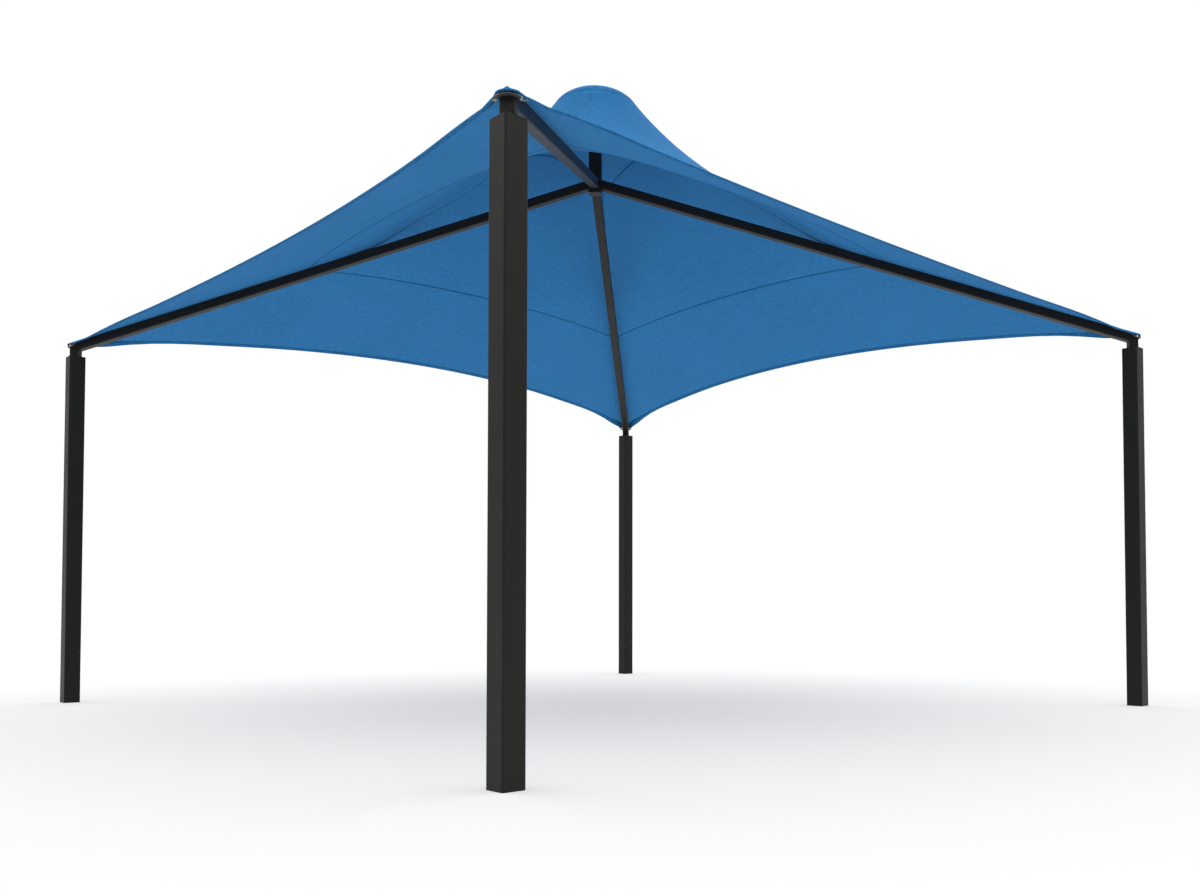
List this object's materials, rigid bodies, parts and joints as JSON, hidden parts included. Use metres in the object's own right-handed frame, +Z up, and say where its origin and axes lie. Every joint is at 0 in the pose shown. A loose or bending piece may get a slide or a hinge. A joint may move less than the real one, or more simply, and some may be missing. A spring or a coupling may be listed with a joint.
{
  "type": "shade structure",
  "caption": "Open-sided square shade structure: steel posts and hip rafters rise to a king post under a tensioned shade-cloth canopy with a round crown.",
  "frame": {"origin": "on the ground, in the middle of the four posts", "axes": "+Z up, X and Y along the sides of the square plan, the front towards -Y"},
  "size_m": [6.1248, 6.1248, 4.921],
  "materials": {
    "steel": "black satin powder coat",
    "stainless": "bright stainless wire rope and tube",
    "cloth": "blue knitted shade cloth, matt"
  },
  "bodies": {
    "root": {"post_front_left": "steel", "post_front_right": "steel", "post_back_right": "steel", "post_back_left": "steel", "post_cap_front_left": "steel", "post_cap_front_right": "steel", "post_cap_back_right": "steel", "post_cap_back_left": "steel", "stub_front_left": "steel", "stub_front_right": "steel", "stub_back_right": "steel", "stub_back_left": "steel", "rafter_front_left": "steel", "rafter_front_right": "steel", "rafter_back_right": "steel", "rafter_back_left": "steel", "king_post": "steel", "king_post_end_plate": "steel", "crown_disc": "steel", "crown_hoop": "steel", "crown_rib_front_left": "steel", "crown_rib_front_right": "steel", "crown_rib_back_right": "steel", "crown_rib_back_left": "steel", "canopy_crown": "cloth", "canopy_front_upper": "cloth", "canopy_front_middle": "cloth", "canopy_front_lower": "cloth", "canopy_right_upper": "cloth", "canopy_right_middle": "cloth", "canopy_right_lower": "cloth", "canopy_back_upper": "cloth", "canopy_back_middle": "cloth", "canopy_back_lower": "cloth", "canopy_left_upper": "cloth", "canopy_left_middle": "cloth", "canopy_left_lower": "cloth", "edge_cable_front": "stainless", "edge_cable_right": "stainless", "edge_cable_back": "stainless", "edge_cable_left": "stainless", "cable_saddle_front_left": "stainless", "cable_saddle_front_right": "stainless", "cable_saddle_back_right": "stainless", "cable_saddle_back_left": "stainless"}
  },
  "joints": []
}
